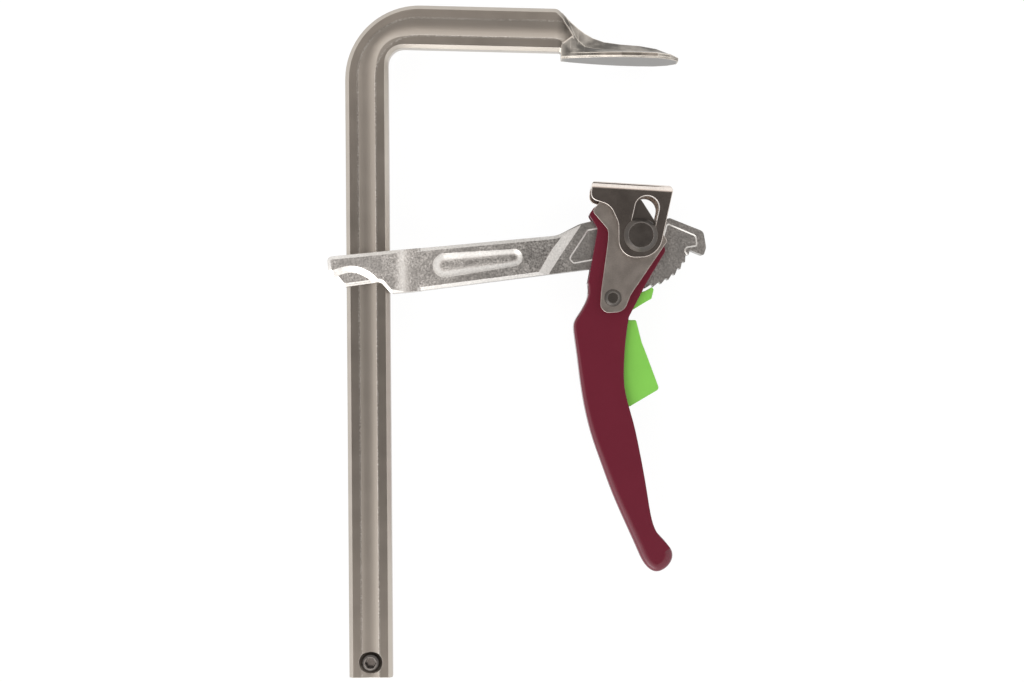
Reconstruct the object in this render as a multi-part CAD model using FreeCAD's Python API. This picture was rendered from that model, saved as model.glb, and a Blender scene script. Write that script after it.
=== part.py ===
import FreeCAD, Part

import math
import os

from FreeCAD import Vector

# All-steel lever bar clamp, millimetres.
# The clamp lies on its side: the rail runs along Y, the jaws reach along +X
# and the thickness is along Z, with the mid-plane of every piece at Z = 0
# until the whole model is moved to its base at the end.
# Rail points are measured from the middle of the rail's foot.
# Arm and lever points are measured from the lever's pivot.

# Rail, a profiled bar bent into the fixed jaw
RAIL_WIDTH = 18.0
RAIL_THICKNESS = 9.0
RAIL_LENGTH = 281.0
RAIL_EDGE_CHAMFER = 1.6
RAIL_GROOVE_WIDTH = 7.2
RAIL_GROOVE_DEPTH = 0.45
BEND_INNER_RADIUS = 6.5
BEND_OUTER_RADIUS = 31.0
JAW_DROOP_DEG = 1.8
THROAT_DEPTH = 104.7

# Forged pad at the end of the fixed jaw
PAD_LENGTH = 49.0
PAD_HALF_WIDTH = 14.5
PAD_RIM = 2.1
PAD_CROWN = 7.0
PAD_BEVEL = 0.7
PAD_DROP = 3.0
PAD_START_BEFORE_PIVOT = 32.0
NECK_LEAD = 3.2
NECK_GROOVE_RADIUS = 9.0
NECK_GROOVE_TURN_DEG = 50.0

# Stop screw through the rail's foot
STOP_HEIGHT = 6.3
STOP_RADIUS = 3.4
STOP_PROUD = 1.1
STOP_SOCKET_RADIUS = 2.3
STOP_SOCKET_DEPTH = 3.5
STOP_SINK_RADIUS = 5.0
STOP_CLEARANCE = 0.05

# Sliding arm, one forging
PIVOT_HEIGHT = 183.7
SLIDE_CLEARANCE = 0.35
COLLAR_BACK_WALL = 7.8
COLLAR_LUG_WALL = 2.4
COLLAR_CHEEK_WALL = 4.1
COLLAR_TOP = -7.3
COLLAR_BOTTOM = -20.4
COLLAR_CHEEK_REACH = 5.6
COLLAR_BLEND = 7.5
COLLAR_ROLL_OFF = 4.8
COLLAR_RELIEF_RAMP = 2.8
LUG_BEVEL = 1.4
ARM_HALF_THICKNESS = 6.5
ARM_EDGE_BEVEL = 1.4
HEAD_HALF_THICKNESS = 4.5
POCKET_START_HALF = 5.1
POCKET_END_HALF = 3.6
POCKET_RIM_DEG = 50.0
PANEL_DEPTH = 0.35
PANEL_SLOPE = 0.6

# Ratchet teeth round the pivot
TOOTH_TIP_RADIUS = 21.9
TOOTH_DEPTH = 1.2
TOOTH_PITCH_DEG = 9.0
TOOTH_COUNT = 9
FIRST_TIP_DEG = -21.4
STEEP_FACE_DEG = 1.0

# Sheet metal and running gaps through the thickness
SIDE_GAP = 0.35
HANDLE_SHEET = 2.0
SIDE_PLATE_SHEET = 2.5
PLATE_GAP = 0.3
PLATE_SHEET = 2.5
HEAD_GAP = 0.15

# Lever and its cam
LEVER_SWING_DEG = 54.0
CAM_FLAT_DISTANCE = 8.3
CAM_LIFT = 10.5
CAM_GAP = 0.1
HANDLE_EDGE_RADIUS = 3.4
HANDLE_TOP_EDGE_RADIUS = 0.8
WEB_ABOVE_PAWL_PIN = 6.3

# Pressure plate
PLATE_TILT_DEG = 3.9
SLOT_TILT_DEG = 13.4
SLOT_TRAVEL = 11.7
SLOT_CLEARANCE = 0.3
PLATE_BOTTOM_WALL = 4.1
PLATE_BEND_RADIUS = 3.0

# Rivets
MAIN_PIN_RADIUS = 4.75
MAIN_HEAD_BASE_RADIUS = 7.1
MAIN_HEAD_TOP_RADIUS = 5.4
MAIN_HEAD_HEIGHT = 2.6
PAWL_PIN_RADIUS = 2.5
PAWL_HEAD_BASE_RADIUS = 3.6
PAWL_HEAD_TOP_RADIUS = 2.5
PAWL_HEAD_HEIGHT = 1.3
PAWL_PIN_BELOW_TEETH = 6.39
PAWL_PIN_DEG = -114.2
FIXED_FIT = 0.02
RUNNING_FIT = 0.08

# Release trigger with its pawl nose, and the spring round the pawl rivet
PAWL_LIFT_DEG = 3.5
TRIGGER_PULL_DEG = 5.0
HUB_RADIUS = 5.0
TRIGGER_SIDE_GAP = 0.35
SPRING_WIRE_RADIUS = 0.45
SPRING_COIL_RADIUS = 3.35
SPRING_TURNS = 1.4
SPRING_PITCH = 1.05
SPRING_TRIGGER_LEG = 7.5
SPRING_WEB_LEG = 18.3
SPRING_ROOM = 0.35

# Sizes that follow from those above
rail_half = RAIL_WIDTH / 2
rail_half_thickness = RAIL_THICKNESS / 2
pivot_x = rail_half + THROAT_DEPTH
hole_half = rail_half + SLIDE_CLEARANCE
hole_half_thickness = rail_half_thickness + SLIDE_CLEARANCE
lug_half = hole_half_thickness + COLLAR_LUG_WALL
cheek_half = hole_half_thickness + COLLAR_CHEEK_WALL
handle_inner = HEAD_HALF_THICKNESS + SIDE_GAP
handle_outer = handle_inner + HANDLE_SHEET
side_plate_outer = handle_outer + SIDE_PLATE_SHEET
plate_inner = side_plate_outer + PLATE_GAP
plate_outer = plate_inner + PLATE_SHEET
main_head_start = plate_outer + HEAD_GAP
pawl_head_start = side_plate_outer
slot_half = MAIN_PIN_RADIUS + SLOT_CLEARANCE
cam_circle_radius = CAM_LIFT / math.radians(LEVER_SWING_DEG)
plate_underside = CAM_FLAT_DISTANCE + CAM_LIFT + CAM_GAP
plate_top = plate_underside + PLATE_SHEET
lever_pin_hole = MAIN_PIN_RADIUS + RUNNING_FIT
pivot = Vector(pivot_x, PIVOT_HEIGHT, 0)
rail_x = -pivot_x


def polar(radius, degrees):
    angle = math.radians(degrees)
    return (radius * math.cos(angle), radius * math.sin(angle))


PAWL_PIN_PLACE = polar(TOOTH_TIP_RADIUS + PAWL_PIN_BELOW_TEETH, PAWL_PIN_DEG)
web_top = PAWL_PIN_PLACE[1] + WEB_ABOVE_PAWL_PIN


def from_pawl_pin(points):
    """Points listed from the pawl rivet, moved to where the rivet is."""
    return [(x + PAWL_PIN_PLACE[0], y + PAWL_PIN_PLACE[1]) for x, y in points]


def turned(point, centre, degrees):
    angle = math.radians(degrees)
    x = point[0] - centre[0]
    y = point[1] - centre[1]
    return (
        centre[0] + x * math.cos(angle) - y * math.sin(angle),
        centre[1] + x * math.sin(angle) + y * math.cos(angle),
    )


def rounded(corners):
    """Closed wire through (x, y, radius) corners, each one rounded by an arc."""
    points = [Vector(x, y, 0) for x, y, radius in corners]
    count = len(points)
    starts, ends, middles = [], [], []
    for i in range(count):
        to_last = points[i - 1] - points[i]
        to_next = points[(i + 1) % count] - points[i]
        radius = corners[i][2]
        half = to_last.getAngle(to_next) / 2
        if radius == 0:
            starts.append(points[i])
            ends.append(points[i])
            middles.append(None)
            continue
        reach = min(radius / math.tan(half), 0.49 * to_last.Length, 0.49 * to_next.Length)
        radius = reach * math.tan(half)
        to_last.normalize()
        to_next.normalize()
        inward = to_last + to_next
        inward.normalize()
        centre = points[i] + inward * (radius / math.sin(half))
        starts.append(points[i] + to_last * reach)
        ends.append(points[i] + to_next * reach)
        middles.append(centre - inward * radius)
    edges = []
    for i in range(count):
        if middles[i] is not None:
            edges.append(Part.Arc(starts[i], middles[i], ends[i]).toShape())
        follower = starts[(i + 1) % count]
        if (follower - ends[i]).Length > 1e-6:
            edges.append(Part.LineSegment(ends[i], follower).toShape())
    return Part.Wire(edges)


def spline(points):
    curve = Part.BSplineCurve()
    curve.interpolate([Vector(x, y, 0) for x, y in points])
    return curve.toShape()


def line(start, end):
    return Part.LineSegment(Vector(start[0], start[1], 0), Vector(end[0], end[1], 0)).toShape()


def slab(wire, low, high):
    """Solid between two heights whose outline is the wire."""
    face = Part.Face(wire)
    face.translate(Vector(0, 0, low))
    return face.extrude(Vector(0, 0, high - low))


def both_sides(wire, half):
    return slab(wire, -half, half)


def pin(radius, half, centre=(0, 0)):
    return Part.makeCylinder(radius, 2 * half, Vector(centre[0], centre[1], -half))


def mirrored(shape):
    return shape.mirror(Vector(0, 0, 0), Vector(0, 0, 1))


def inset_points(points, distance):
    """The points moved to the left of their direction of travel."""
    result = []
    for i, (x, y) in enumerate(points):
        before = points[max(i - 1, 0)]
        after = points[min(i + 1, len(points) - 1)]
        dx = after[0] - before[0]
        dy = after[1] - before[1]
        length = math.hypot(dx, dy)
        result.append((x - distance * dy / length, y + distance * dx / length))
    return result


def inset_corners(corners, distance):
    """Rounded corners moved inwards, for an outline listed clockwise."""
    count = len(corners)
    result = []
    for i, (x, y, radius) in enumerate(corners):
        before = corners[i - 1]
        after = corners[(i + 1) % count]
        arriving = Vector(x - before[0], y - before[1], 0).normalize()
        leaving = Vector(after[0] - x, after[1] - y, 0).normalize()
        share = distance / (1 + arriving.dot(leaving))
        right = Vector(arriving.y + leaving.y, -arriving.x - leaving.x, 0) * share
        outward_turn = arriving.cross(leaving).z < 0
        if radius > 0:
            radius = max(radius - distance, 0.05) if outward_turn else radius + distance
        result.append((x + right.x, y + right.y, radius))
    return result


def bevelled_slab(corners, half, bevel):
    """Slab of rounded corners, listed clockwise, with a bevel round both faces."""
    step = half - bevel
    low = rounded(corners)
    high = rounded(inset_corners(corners, bevel))
    block = slab(low, -step, step)
    low.translate(Vector(0, 0, step))
    high.translate(Vector(0, 0, half))
    edge = Part.makeLoft([low, high], True, True)
    return block.fuse([edge, mirrored(edge)])


# Rail and fixed jaw

def rail_section(w=rail_half):
    """The rolled section in the XZ plane, with an arc groove in each face."""
    t = rail_half_thickness
    c = RAIL_EDGE_CHAMFER
    g = RAIL_GROOVE_WIDTH / 2 * w / rail_half
    deep = t - RAIL_GROOVE_DEPTH

    def at(x, z):
        return Vector(x, 0, z)

    corners = [(-w, -t + c), (-w, t - c), (-w + c, t), (-g, t)]
    far_corners = [(g, t), (w - c, t), (w, t - c), (w, -t + c), (w - c, -t), (g, -t)]
    edges = [Part.LineSegment(at(*a), at(*b)).toShape() for a, b in zip(corners, corners[1:])]
    edges.append(Part.Arc(at(-g, t), at(0, deep), at(g, t)).toShape())
    edges += [Part.LineSegment(at(*a), at(*b)).toShape() for a, b in zip(far_corners, far_corners[1:])]
    edges.append(Part.Arc(at(g, -t), at(0, -deep), at(-g, -t)).toShape())
    edges.append(Part.LineSegment(at(-g, -t), at(-w + c, -t)).toShape())
    edges.append(Part.LineSegment(at(-w + c, -t), at(-w, -t + c)).toShape())
    return Part.Face(Part.Wire(edges))


bend_centre = Vector(BEND_OUTER_RADIUS - rail_half, RAIL_LENGTH - BEND_OUTER_RADIUS, 0)
bend_turn = 90 + JAW_DROOP_DEG
pad_start_x = pivot_x - PAD_START_BEFORE_PIVOT
jaw_direction = Vector(*polar(1, -JAW_DROOP_DEG), 0)
jaw_up = Vector(*polar(1, 90 - JAW_DROOP_DEG), 0)
bend_end = bend_centre + jaw_up * (BEND_OUTER_RADIUS - rail_half)
jaw_straight = (pad_start_x - bend_end.x) / jaw_direction.x - NECK_LEAD
jaw_end = bend_end + jaw_direction * (jaw_straight + NECK_LEAD)


def bend_reach(degrees):
    """Distance from the bend's centre to its inner edge, in a direction measured from -X."""
    straight = BEND_OUTER_RADIUS - RAIL_WIDTH
    way = Vector(*polar(1, 180 - degrees), 0)
    over = straight - BEND_INNER_RADIUS
    along_jaw = -(over + over * jaw_up.x) / jaw_direction.x
    inner = jaw_up * over + jaw_direction * along_jaw
    first = math.degrees(math.atan2(inner.y, straight))
    touch = inner + jaw_up * BEND_INNER_RADIUS
    last = 180 - math.degrees(math.atan2(touch.y, touch.x))
    if degrees <= first:
        return straight / math.cos(math.radians(degrees))
    if degrees >= last:
        return straight / way.dot(jaw_up)
    near = way.dot(inner)
    side = inner.Length ** 2 - near ** 2
    return near + math.sqrt(BEND_INNER_RADIUS ** 2 - side)


def bend_section(degrees):
    """Section of the bend, which is drawn thinner where it turns."""
    reach = bend_reach(degrees)
    half = (BEND_OUTER_RADIUS - reach) / 2
    section = rail_section(half).OuterWire
    section.rotate(Vector(0, 0, 0), Vector(0, 0, 1), -degrees)
    way = Vector(*polar(1, 180 - degrees), 0)
    section.translate(bend_centre + way * (reach + half))
    return section


def pad_section(along, half_width, rim_top, low_waist, ridge, crest):
    """One cross-section of the pad's forging, standing across the jaw."""
    base = -rail_half - PAD_DROP
    half_outline = [
        (half_width - 2 * PAD_BEVEL, base - PAD_BEVEL),
        (half_width, base + PAD_BEVEL),
        (half_width, rim_top),
        low_waist,
        ridge,
        crest,
    ]
    outline = half_outline + [(-side, up) for side, up in reversed(half_outline)]
    middle = jaw_end + jaw_direction * along
    points = [middle + jaw_up * up + Vector(0, 0, side) for side, up in outline]
    return Part.makePolygon(points + [points[0]])


def on_jaw(along, up):
    """Place on the jaw, from where the pad starts."""
    place = jaw_end + jaw_direction * along + jaw_up * up
    return (place.x, place.y)


def pad_forging():
    """The jaw's end runs down a ridge onto an oval pad with a crowned back."""
    t = rail_half_thickness
    w = rail_half
    floor = -w - PAD_DROP
    rim = floor + PAD_RIM
    crown = floor + PAD_CROWN
    wide = PAD_HALF_WIDTH
    share = PAD_LENGTH / 49.1
    low = 0.7
    stations = [
        (0.0, 0.34, rim, (0.3, rim + 1.6), (t - 1.2, w - 2.9), (t - 1.6, w - 1.5)),
        (3.9, 0.50, rim, (0.6, rim + 2.0), (t - 1.2, w - 8.6), (t - 2.0, w - 5.4)),
        (7.0, 0.60, rim, (1.2, rim + 1.6), (t - 1.0, w - 13.2), (t - 2.2, w - 8.0)),
        (9.9, 0.68, rim, (1.8, rim + low + 0.3), (t + 0.7, rim + 3.0), (t - 2.1, crown + 3.9)),
        (13.3, 0.77, rim, (2.2, rim + low), (t + 1.5, rim + 2.3), (t - 2.3, crown + 2.1)),
        (18.0, 0.87, rim, (2.6, rim + low), (t + 1.9, rim + 1.9), (t - 2.3, crown + 0.6)),
        (25.0, 0.97, rim, (2.7, rim + low), (t + 1.9, rim + 1.7), (t - 2.3, crown - 0.2)),
        (33.0, 1.00, rim, (2.6, rim + low), (t + 1.5, rim + 1.6), (t - 2.5, crown - 0.6)),
        (40.0, 0.95, rim, (2.6, rim + low), (t + 0.5, rim + 1.3), (t - 2.5, crown - 1.7)),
        (45.5, 0.72, rim - 0.2, (2.6, rim + 0.4), (t - 1.3, rim + 0.8), (t - 3.1, rim + 1.3)),
        (49.1, 0.34, rim - 0.8, (1.3, rim - 0.5), (t - 3.4, rim - 0.4), (t - 3.9, rim - 0.3)),
    ]
    sections = [
        pad_section(along * share, wide * width, top, (wide * width - waist_in, waist_up), ridge, crest)
        for along, width, top, (waist_in, waist_up), ridge, crest in stations
    ]
    pad = Part.makeLoft(sections, True, True)
    neck = bevelled_slab([
        (*on_jaw(-NECK_LEAD - 4, -w), 0),
        (*on_jaw(-NECK_LEAD - 4, w), 0),
        (*on_jaw(-1.9, w), 3.0),
        (*on_jaw(1.6, 5.9), 6.0),
        (*on_jaw(9.9, -8.4), 1.5),
        (*on_jaw(9.9, floor + PAD_BEVEL), 0),
        (*on_jaw(1.8, floor + PAD_BEVEL), 0),
        (*on_jaw(-0.6, -w), 1.0),
    ], t, RAIL_EDGE_CHAMFER)
    behind = Part.makeBox(20, 80, 80, Vector(-20, -40, -40))
    below = Part.makeBox(200, 20, 80, Vector(-20, -20, -40))
    for block, place in ((behind, on_jaw(-NECK_LEAD, 0)), (below, on_jaw(0, floor))):
        block.rotate(Vector(0, 0, 0), Vector(0, 0, 1), -JAW_DROOP_DEG)
        block.translate(Vector(*place, 0))
    return neck.cut(behind).fuse(pad.cut(below))


def neck_grooves():
    """The rail's grooves curve down into the neck and run out there."""
    t = rail_half_thickness
    g = RAIL_GROOVE_WIDTH / 2
    above = t + 2
    edges = [
        Part.Arc(Vector(-g, 0, t), Vector(0, 0, t - RAIL_GROOVE_DEPTH), Vector(g, 0, t)).toShape(),
        Part.LineSegment(Vector(g, 0, t), Vector(g, 0, above)).toShape(),
        Part.LineSegment(Vector(g, 0, above), Vector(-g, 0, above)).toShape(),
        Part.LineSegment(Vector(-g, 0, above), Vector(-g, 0, t)).toShape(),
    ]
    profile = Part.Face(Part.Wire(edges))
    profile.rotate(Vector(0, 0, 0), Vector(0, 0, 1), -bend_turn)
    profile.translate(Vector(*on_jaw(-NECK_LEAD, 0), 0))
    axis = Vector(*on_jaw(-NECK_LEAD, -NECK_GROOVE_RADIUS), 0)
    groove = profile.revolve(axis, Vector(0, 0, 1), -NECK_GROOVE_TURN_DEG)
    return [groove, mirrored(groove)]


def make_rail():
    section = rail_section()
    straight = section.extrude(Vector(0, bend_centre.y, 0))
    bend = Part.makeLoft([bend_section(bend_turn * i / 10) for i in range(11)], True, False)
    tip = section.copy()
    tip.rotate(Vector(0, 0, 0), Vector(0, 0, 1), -bend_turn)
    tip.translate(bend_end)
    jaw = tip.extrude(jaw_direction * jaw_straight)
    forging = pad_forging().cut(neck_grooves())
    rail = straight.fuse([bend, jaw, forging])
    hole = pin(STOP_RADIUS + STOP_CLEARANCE, RAIL_THICKNESS, (0, STOP_HEIGHT))
    sink_depth = STOP_SINK_RADIUS - STOP_RADIUS
    sink = Part.makeCone(
        STOP_RADIUS, STOP_SINK_RADIUS + 1, sink_depth + 1,
        Vector(0, STOP_HEIGHT, rail_half_thickness - sink_depth),
    )
    rail = rail.cut([hole, sink, mirrored(sink)])
    return rail.removeSplitter()


def make_stop_screw():
    """Headless socket screw that stands proud of both faces and stops the arm."""
    half = rail_half_thickness + STOP_PROUD
    chamfer = 0.6
    body = pin(STOP_RADIUS, half - chamfer, (0, STOP_HEIGHT))
    end = Part.makeCone(
        STOP_RADIUS, STOP_RADIUS - chamfer, chamfer, Vector(0, STOP_HEIGHT, half - chamfer)
    )
    hexagon = [polar(STOP_SOCKET_RADIUS, 60 * i) for i in range(6)]
    corners = [(x, y + STOP_HEIGHT, 0) for x, y in hexagon]
    socket = slab(rounded(corners), half - STOP_SOCKET_DEPTH, half + 1)
    return body.fuse([end, mirrored(end)]).cut(socket).removeSplitter()


# Sliding arm

arm_back = rail_x - rail_half - COLLAR_BACK_WALL
arm_front = rail_x + rail_half
UPPER_EDGE = [
    (arm_back, COLLAR_TOP - 0.5, 2.0),
    (arm_front + 5.4, -5.0, 8),
    (-34.5, 0.5, 12),
]
LOWER_EDGE = [
    (arm_front + 9.0, -22.6, 10),
    (arm_front + 0.6, -23.2, 1.4),
    (arm_front - 3.5, -18.4, 2.5),
    (arm_back + 6.8, COLLAR_BOTTOM, 1.6),
    (arm_back + 3.2, -16.2, 1.4),
    (arm_back + 0.6, -13.6, 2.0),
]


def arm_outline():
    """Silhouette of the whole forging, from the collar to the hooked head."""
    tip = TOOTH_TIP_RADIUS
    root = tip - TOOTH_DEPTH
    corners = UPPER_EDGE + [
        (-25.0, 5.3, 9),
        (-16.0, 7.3, 6),
        (4.0, 7.3, 6),
        (8.5, 6.5, 3),
        (12.6, 7.5, 1.2),
        (*polar(tip + 4.8, 3.9), 2.6),
        (*polar(tip + 6.3, -10.2), 3),
        (*polar(tip + 6.0, -17.3), 0.8),
        (*polar(tip - 0.2, -16.0), 0.5),
    ]
    for i in range(TOOTH_COUNT):
        angle = FIRST_TIP_DEG - i * TOOTH_PITCH_DEG
        corners.append((*polar(tip, angle), 0.12))
        corners.append((*polar(root, angle - STEEP_FACE_DEG), 0.15))
    corners += [(*polar(tip - 1.1, -108.2), 2), (-15.5, -13.0, 5)]
    return rounded(corners + LOWER_EDGE)


def arm_block(half, bevel):
    """Collar and beam at one thickness, bevelled round both faces."""
    corners = UPPER_EDGE + [(-14.0, 9.5, 0), (-14.0, -12.7, 0)] + LOWER_EDGE
    return bevelled_slab(corners, half, bevel)


def beam_region(inset):
    """Everything left of the step, which is slanted to clear the lever."""
    return [
        (-25.4 - inset, 3.4, 0),
        (-31.7 - 1.15 * inset, -5.7, 6),
        (-38.3 - inset, -15.9, 0),
        (-42.0 - inset, -22.0, 0),
        (rail_x - 40, -40, 0),
        (rail_x - 40, 20, 0),
        (-20 - inset, 12, 0),
    ]


def beam_step():
    """The beam's region between the head's face and its own, with a sloped end."""
    rise = ARM_HALF_THICKNESS - HEAD_HALF_THICKNESS
    wires = []
    for height, inset in ((HEAD_HALF_THICKNESS, 0), (ARM_HALF_THICKNESS, 2.3 * rise)):
        wire = rounded(beam_region(inset))
        wire.translate(Vector(0, 0, height))
        wires.append(wire)
    return Part.makeLoft(wires, True, True)


def collar_step():
    """The collar's region above the beam's face: a rounded shoulder runs into a hollow foot."""
    rise = cheek_half - ARM_HALF_THICKNESS
    right = arm_front + COLLAR_CHEEK_REACH + COLLAR_BLEND
    reach = COLLAR_BLEND + COLLAR_ROLL_OFF
    far = rail_x - 40
    steepest = 2 * math.atan2(rise, reach)
    half_turn = steepest / 2
    foot = Vector(right, 0, ARM_HALF_THICKNESS)
    inflection = foot + Vector(-COLLAR_BLEND, 0, COLLAR_BLEND * math.tan(half_turn))
    head = Vector(right - reach, 0, cheek_half)
    hollow = COLLAR_BLEND / math.sin(steepest)
    shoulder = COLLAR_ROLL_OFF / math.sin(steepest)
    low = foot + Vector(-hollow * math.sin(half_turn), 0, hollow * (1 - math.cos(half_turn)))
    high = head + Vector(shoulder * math.sin(half_turn), 0, -shoulder * (1 - math.cos(half_turn)))
    corners = [
        head, Vector(head.x, 0, cheek_half + 1), Vector(far, 0, cheek_half + 1),
        Vector(far, 0, foot.z), foot,
    ]
    edges = [Part.Arc(foot, low, inflection).toShape(), Part.Arc(inflection, high, head).toShape()]
    edges += [Part.LineSegment(a, b).toShape() for a, b in zip(corners, corners[1:])]
    face = Part.Face(Part.Wire(edges))
    face.translate(Vector(0, -60, 0))
    return face.extrude(Vector(0, 120, 0))


def cheek_relief():
    """Below this curve the cheek slopes down to the thinner lug."""
    back = rail_x - rail_half
    curve = [
        (back - 10, -14.6), (back - 4.6, -13.2), (back + 2.4, -11.6), (arm_front - 9.6, -13.2),
        (arm_front - 5.6, -16.0), (arm_front - 2.4, -20.4), (arm_front + 0.2, -24.6), (arm_front + 1.5, -30),
    ]
    rise = cheek_half - lug_half
    slope = COLLAR_RELIEF_RAMP / rise
    wires = []
    for height in (lug_half, cheek_half + rise):
        shift = (cheek_half - height) * slope
        edge = inset_points(curve, -shift)
        low = (edge[-1][0], -60)
        far = (edge[0][0], -60)
        edges = [spline(edge), line(edge[-1], low), line(low, far), line(far, edge[0])]
        wire = Part.Wire(edges)
        wire.translate(Vector(0, 0, height))
        wires.append(wire)
    room_for_lug_bevel = Part.Face(wires[0]).extrude(Vector(0, 0, -2 * LUG_BEVEL))
    return Part.makeLoft(wires, True, True).fuse(room_for_lug_bevel)


def pocket():
    """Tapered trough with round ends, sunk into the beam's face."""
    rim = math.radians(POCKET_RIM_DEG)
    start_radius = POCKET_START_HALF / math.sin(rim)
    end_radius = POCKET_END_HALF / math.sin(rim)
    rise = math.cos(rim)
    start = Vector(arm_front + 23.3, -11.7, ARM_HALF_THICKNESS + start_radius * rise)
    end = Vector(-52.6, -8.7, ARM_HALF_THICKNESS + end_radius * rise)
    axis = end - start
    cone = Part.makeCone(start_radius, end_radius, axis.Length, start, axis)
    round_start = Part.makeSphere(start_radius, start)
    round_end = Part.makeSphere(end_radius, end)
    return cone.fuse([round_start, round_end])


def sunk_panel(corners):
    """Shallow recess in the head's face, with sloped sides."""
    low = rounded(inset_corners(corners, PANEL_SLOPE))
    high = rounded(corners)
    over = PANEL_DEPTH
    low.translate(Vector(0, 0, HEAD_HALF_THICKNESS - PANEL_DEPTH))
    high.translate(Vector(0, 0, HEAD_HALF_THICKNESS))
    slopes = Part.makeLoft([low, high], True, True)
    cap = Part.Face(high).extrude(Vector(0, 0, over))
    return slopes.fuse(cap)


def side_panel():
    corners = [(-16.0, 3.9, 1), (-16.0, -9.4, 1), (-27.8, -11.4, 1.5), (-29.9, -9.2, 1.6), (-21.8, 2.9, 1)]
    return sunk_panel(corners)


def head_panel():
    tip = TOOTH_TIP_RADIUS
    corners = [
        (11.4, 5.5, 1),
        (*polar(tip + 1.8, 0.5), 1.8),
        (*polar(tip + 2.7, -10.3), 1.2),
        (*polar(tip - 2.9, -16.2), 1.2),
        (*polar(tip + 3.0, -26.0), 1),
        (*polar(tip + 9.0, -56.0), 1),
        (*polar(tip + 3.0, -100.0), 1),
        (-3.0, -12.0, 3),
        (7.5, -7.5, 6),
    ]
    return sunk_panel(corners)


def make_arm():
    head = both_sides(arm_outline(), HEAD_HALF_THICKNESS)
    beam = arm_block(ARM_HALF_THICKNESS, ARM_EDGE_BEVEL).common(beam_step())
    collar = collar_step()
    lug = arm_block(lug_half, LUG_BEVEL).common(collar)
    cheek = arm_block(cheek_half, ARM_EDGE_BEVEL).common(collar).cut(cheek_relief())
    sides = [beam, lug, cheek]
    arm = head.fuse(sides + [mirrored(side) for side in sides])
    cuts = [pocket(), side_panel(), head_panel()]
    cuts += [mirrored(cut) for cut in cuts]
    cuts.append(pin(MAIN_PIN_RADIUS + FIXED_FIT, 2 * cheek_half))
    cuts.append(Part.makeBox(
        2 * hole_half, 60, 2 * hole_half_thickness,
        Vector(rail_x - hole_half, -40, -hole_half_thickness),
    ))
    return arm.cut(cuts).removeSplitter()


# Lever: red handle, side plates with the cam, rivets and trigger

def cam_points(inset, start_deg, end_deg, count):
    """Involute whose flat follower rises evenly as the lever closes."""
    flat_deg = 90 - PLATE_TILT_DEG - LEVER_SWING_DEG
    points = []
    for i in range(count):
        normal = start_deg + (end_deg - start_deg) * i / (count - 1)
        height = CAM_FLAT_DISTANCE - inset + cam_circle_radius * math.radians(normal - flat_deg)
        along = polar(height, normal)
        across = polar(cam_circle_radius, normal + 90)
        points.append((along[0] + across[0], along[1] + across[1]))
    return points


def cam_wire(inset, lower_corners):
    """Cam flat, involute and rounded nose, closed by the lower outline."""
    closed_deg = 90 - PLATE_TILT_DEG
    flat_deg = closed_deg - LEVER_SWING_DEG
    rise = cam_points(inset, flat_deg, closed_deg + 1.5, 7)
    across = polar(1, flat_deg + 90)
    flat_start = (rise[0][0] - across[0] * 17.2, rise[0][1] - across[1] * 17.2)
    nose = [rise[-1], (rise[-1][0] - 2.6, rise[-1][1] - 1.0), (rise[-1][0] - 5.2, rise[-1][1] - 4.0)]
    edges = [line(flat_start, rise[0]), spline(rise), spline(nose)]
    rest = [(nose[-1][0], nose[-1][1], 0)] + lower_corners + [(flat_start[0], flat_start[1], 0)]
    closing = rounded(rest)
    edges += [edge for edge in closing.Edges if not joins(edge, nose[-1], flat_start)]
    return Part.Wire(Part.__sortEdges__(edges))


def joins(edge, start, end):
    """True for the straight edge that runs between the two points."""
    ends = [vertex.Point for vertex in edge.Vertexes]
    targets = [Vector(start[0], start[1], 0), Vector(end[0], end[1], 0)]
    return all(min((p - t).Length for p in ends) < 1e-5 for t in targets)


def make_side_plate():
    """Steel plate on the outside of the handle, with the cam at its top."""
    x, y = PAWL_PIN_PLACE
    lower = [
        (-19.9, 10.4, 1.6),
        (-13.2, 2.4, 3.5),
        (-13.4, -2.0, 8),
        (x - 4.9, y + 2.0, 10),
        (x - 5.4, y - 6.4, 5.0),
        (x + 4.6, y - 5.8, 5.0),
        (x + 7.2, y + 1.0, 14),
        (11.2, -2.3, 1.8),
    ]
    plate = slab(cam_wire(0, lower), handle_outer, side_plate_outer)
    plate = plate.cut([
        pin(lever_pin_hole, 2 * side_plate_outer),
        pin(PAWL_PIN_RADIUS + FIXED_FIT, 2 * side_plate_outer, PAWL_PIN_PLACE),
    ])
    return plate


GRIP_BACK = from_pawl_pin([
    (-10.3, 6.3), (-12.0, -3.2), (-14.1, -6.6), (-16.0, -10.0), (-16.1, -14.5),
    (-15.1, -22.2), (-13.7, -34.1), (-8.8, -58.2), (-4.8, -69.9), (-1.0, -80.5),
    (7.0, -99.1), (10.0, -106.0), (13.0, -111.6), (17.2, -114.4), (21.6, -112.8),
    (24.3, -108.5), (23.3, -104.4),
])
GRIP_FRONT = from_pawl_pin([
    (23.3, -104.4), (20.8, -101.4), (17.8, -97.9), (15.5, -91.7), (13.8, -81.5),
    (10.6, -62.9), (8.3, -52.1), (4.6, -36.2), (4.5, -28.7), (5.9, -13.0),
    (6.7, -8.0),
])


def handle_cheek_wire():
    """Flat upper part of the handle beside the arm's head."""
    lower = [
        (-19.4, 11.6, 1.5),
        (-21.2, 9.0, 1.2),
        (-17.6, 3.2, 2.5),
        (-19.6, -7.5, 10),
        (GRIP_BACK[0][0], web_top, 0),
        (-23.0, web_top - 8, 0),
        (PAWL_PIN_PLACE[0] + 8.6, web_top - 8, 0),
        (PAWL_PIN_PLACE[0] + 14.2, web_top, 0),
        (10.6, -6.4, 2.0),
    ]
    return cam_wire(1.0, lower)


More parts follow.
